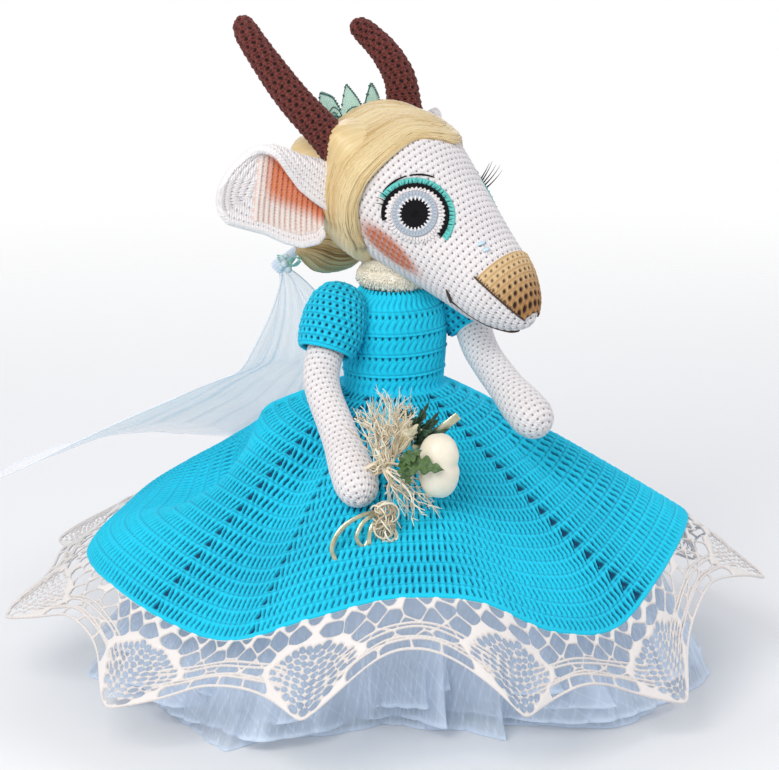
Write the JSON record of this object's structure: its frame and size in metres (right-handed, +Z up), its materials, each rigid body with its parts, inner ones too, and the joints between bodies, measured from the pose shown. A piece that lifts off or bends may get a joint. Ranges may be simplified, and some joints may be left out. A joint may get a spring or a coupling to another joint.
{
  "type": "crocheted goat doll",
  "caption": "Stuffed crochet goat doll in a wide lace-hemmed skirt with a tulle veil, small crown and bouquet; its head turns and its arms swing at the shoulders.",
  "frame": {"origin": "middle of the doll's footprint, on the surface that it stands on", "axes": "+Z up, the doll's chest faces -Y, its right hand is at -X"},
  "size_m": [0.4592, 0.4558, 0.3948],
  "materials": {
    "white_yarn": "crocheted cotton",
    "turquoise_yarn": "crocheted cotton, openwork rows",
    "white_lace": "openwork lace",
    "tulle": "stiff net",
    "brown_yarn": "crocheted cotton",
    "terracotta_yarn": "crocheted cotton",
    "blonde_roving": "combed wool",
    "cream_fleece": "fleece",
    "tan_yarn": "crocheted cotton",
    "brown_thread": "thread",
    "iris_yarn": "crocheted cotton",
    "black_yarn": "cotton thread",
    "lid_yarn": "cotton thread",
    "teal_lace": "lace",
    "bare_wood": "plain",
    "dried_roots": "dried",
    "ivory_ball": "satin",
    "cream_flower": "dried",
    "green_leaves": "satin",
    "satin_ribbon": "satin"
  },
  "bodies": {
    "doll": {"lace_hem": "white_lace", "skirt": "turquoise_yarn", "petticoat": "tulle", "bodice": "turquoise_yarn", "veil_drape": "tulle", "torso": "white_yarn", "leg_right": "white_yarn", "leg_left": "white_yarn", "neck_dowel": "bare_wood"},
    "head": {"hair_cap": "blonde_roving", "head": "white_yarn", "crown": "teal_lace", "neck_ruff": "cream_fleece", "horn_right": "brown_yarn", "horn_left": "brown_yarn", "ear_right": "white_yarn", "ear_left": "white_yarn", "nose_patch": "tan_yarn", "lashes_left": "black_yarn", "veil_bow": "teal_lace", "lashes_right": "black_yarn", "mouth_thread": "brown_thread", "hair_nape": "blonde_roving", "ear_lining_right": "terracotta_yarn", "ear_lining_left": "terracotta_yarn", "eye_white_right": "white_yarn", "iris_right": "iris_yarn", "pupil_right": "black_yarn", "eye_white_left": "white_yarn", "iris_left": "iris_yarn", "pupil_left": "black_yarn", "eyebrow_right": "black_yarn", "eyebrow_left": "black_yarn", "veil_gather": "tulle", "upper_lash_line_right": "black_yarn", "eyelid_right": "lid_yarn", "upper_lash_line_left": "black_yarn", "eyelid_left": "lid_yarn"},
    "right_arm": {"bouquet_twigs": "dried_roots", "sleeve_right": "turquoise_yarn", "arm_right": "white_yarn", "bouquet_ribbon_loops": "satin_ribbon", "bouquet_ball": "ivory_ball", "bouquet_leaves": "green_leaves", "bouquet_stem_ribbon": "satin_ribbon", "bouquet_flower": "cream_flower", "bouquet_front_leaf": "green_leaves", "bouquet_ribbon_tail": "satin_ribbon"},
    "left_arm": {"arm_left": "white_yarn", "sleeve_left": "turquoise_yarn"}
  },
  "joints": [
    {"name": "neck_turn", "type": "hinge", "parent": "doll", "child": "head", "pos_m": [0.00054, -0.01499, 0.246], "axis": [0, 0, 1], "range_deg": [-45, 2]},
    {"name": "right_shoulder", "type": "hinge", "parent": "doll", "child": "right_arm", "pos_m": [-0.03746, -0.01499, 0.222], "axis": [-1, 0, 0], "range_deg": [0, 18]},
    {"name": "left_shoulder", "type": "hinge", "parent": "doll", "child": "left_arm", "pos_m": [0.03854, -0.01499, 0.222], "axis": [-1, 0, 0], "range_deg": [-10, 3]}
  ]
}
